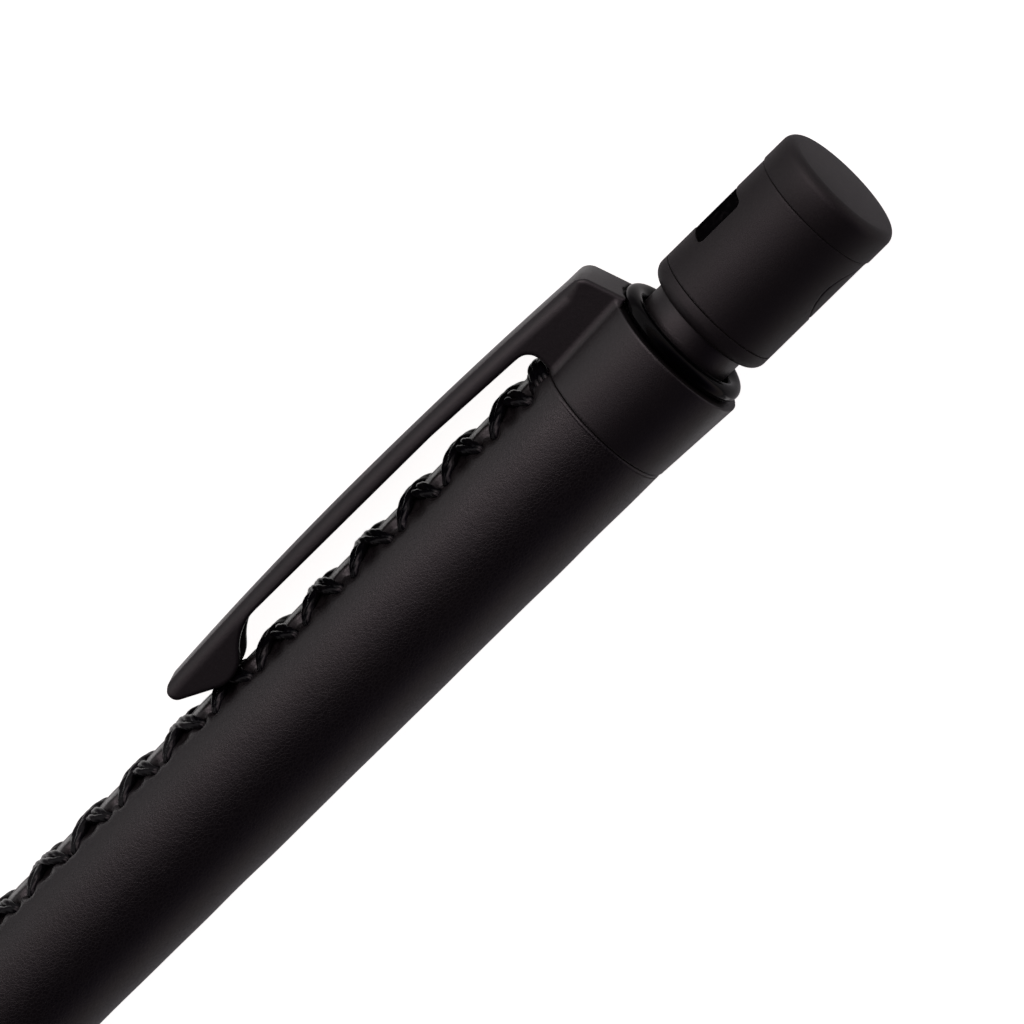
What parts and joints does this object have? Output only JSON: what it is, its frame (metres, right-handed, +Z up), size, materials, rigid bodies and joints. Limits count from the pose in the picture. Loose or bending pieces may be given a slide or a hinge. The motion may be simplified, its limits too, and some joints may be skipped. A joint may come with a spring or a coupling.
{
  "type": "mechanical pencil",
  "caption": "Leather-covered clutch pencil for thick leads, with a cross-stitched seam, a channel-shaped pocket clip on a flared collar, and a push button that holds a lead pointer.",
  "frame": {"origin": "on the table, below the middle of the pencil's box", "axes": "+X along the pencil towards the push button, +Y across it on the clip's side, +Z up; the pencil lies on the collar's rim, the front ring and the clip's outer edge"},
  "size_m": [0.1446, 0.0164, 0.0128],
  "materials": {
    "leather": "smooth black leather with a fine grain, satin",
    "waxed_thread": "twisted black thread, waxed, with a soft gloss",
    "black_lacquer": "matte black lacquer with a very fine grain",
    "black_gloss": "polished black",
    "brass": "turned, satin",
    "nickel": "nickel plated",
    "steel": "satin",
    "graphite": "dark grey graphite with a slight sheen",
    "rubber": "matte",
    "black_plastic": "moulded, matte"
  },
  "bodies": {
    "barrel": {"barrel_tube": "brass", "leather_sleeve": "leather", "seam_stitches": "waxed_thread", "clip_collar": "black_lacquer", "end_bush": "black_gloss", "front_ring": "black_lacquer", "nose_cone": "black_lacquer", "spring_seat": "brass", "return_spring": "steel"},
    "clip": {"clip_arm": "black_lacquer"},
    "plunger": {"clutch_sleeve": "brass", "spring_washer": "steel", "lead_tube": "brass", "tube_guide": "black_plastic", "stem": "black_lacquer", "stem_o_ring": "rubber"},
    "jaw_1": {"clutch_jaw_1": "nickel"},
    "jaw_2": {"clutch_jaw_2": "nickel"},
    "jaw_3": {"clutch_jaw_3": "nickel"},
    "jaw_4": {"clutch_jaw_4": "nickel"},
    "lead": {"lead": "graphite"},
    "button": {"button_base": "black_lacquer", "button_shell": "black_lacquer", "button_end": "black_lacquer", "pointer_core": "black_plastic", "pointer_blade": "steel", "blade_screw": "brass"}
  },
  "joints": [
    {"name": "button_push", "type": "slide", "parent": "barrel", "child": "plunger", "axis": [-1, 0, 0], "range_m": [0, 0.0017], "stiffness_N_per_m": 2000, "springref_m": -0.001, "deforming": ["return_spring"]},
    {"name": "button_pull", "type": "slide", "parent": "plunger", "child": "button", "axis": [1, 0, 0], "range_m": [0, 0.012]},
    {"name": "lead_feed", "type": "slide", "parent": "plunger", "child": "lead", "axis": [-1, 0, 0], "range_m": [-0.004, 0.03]},
    {"name": "clip_flex", "type": "hinge", "parent": "barrel", "child": "clip", "pos_m": [0.0448, 0.00693, 0.00244], "axis": [0, -0.4104, -0.9119], "range_deg": [0, 3], "stiffness_Nm_per_rad": 4.8},
    {"name": "jaw_1_open", "type": "hinge", "parent": "plunger", "child": "jaw_1", "pos_m": [-0.04732, -0.00071, 0.00342], "axis": [0, -0.935, -0.3546], "range_deg": [0, 1.25]},
    {"name": "jaw_2_open", "type": "hinge", "parent": "plunger", "child": "jaw_2", "pos_m": [-0.04732, 0.00113, 0.0075], "axis": [0, 0.3546, -0.935], "range_deg": [0, 1.25]},
    {"name": "jaw_3_open", "type": "hinge", "parent": "plunger", "child": "jaw_3", "pos_m": [-0.04732, -0.00296, 0.00934], "axis": [0, 0.935, 0.3546], "range_deg": [0, 1.25]},
    {"name": "jaw_4_open", "type": "hinge", "parent": "plunger", "child": "jaw_4", "pos_m": [-0.04732, -0.0048, 0.00526], "axis": [0, -0.3546, 0.935], "range_deg": [0, 1.25]}
  ],
  "couplings": [
    {"joint": "jaw_1_open", "follows": "button_push", "rad_per_m": 12.32},
    {"joint": "jaw_2_open", "follows": "button_push", "rad_per_m": 12.32},
    {"joint": "jaw_3_open", "follows": "button_push", "rad_per_m": 12.32},
    {"joint": "jaw_4_open", "follows": "button_push", "rad_per_m": 12.32}
  ]
}
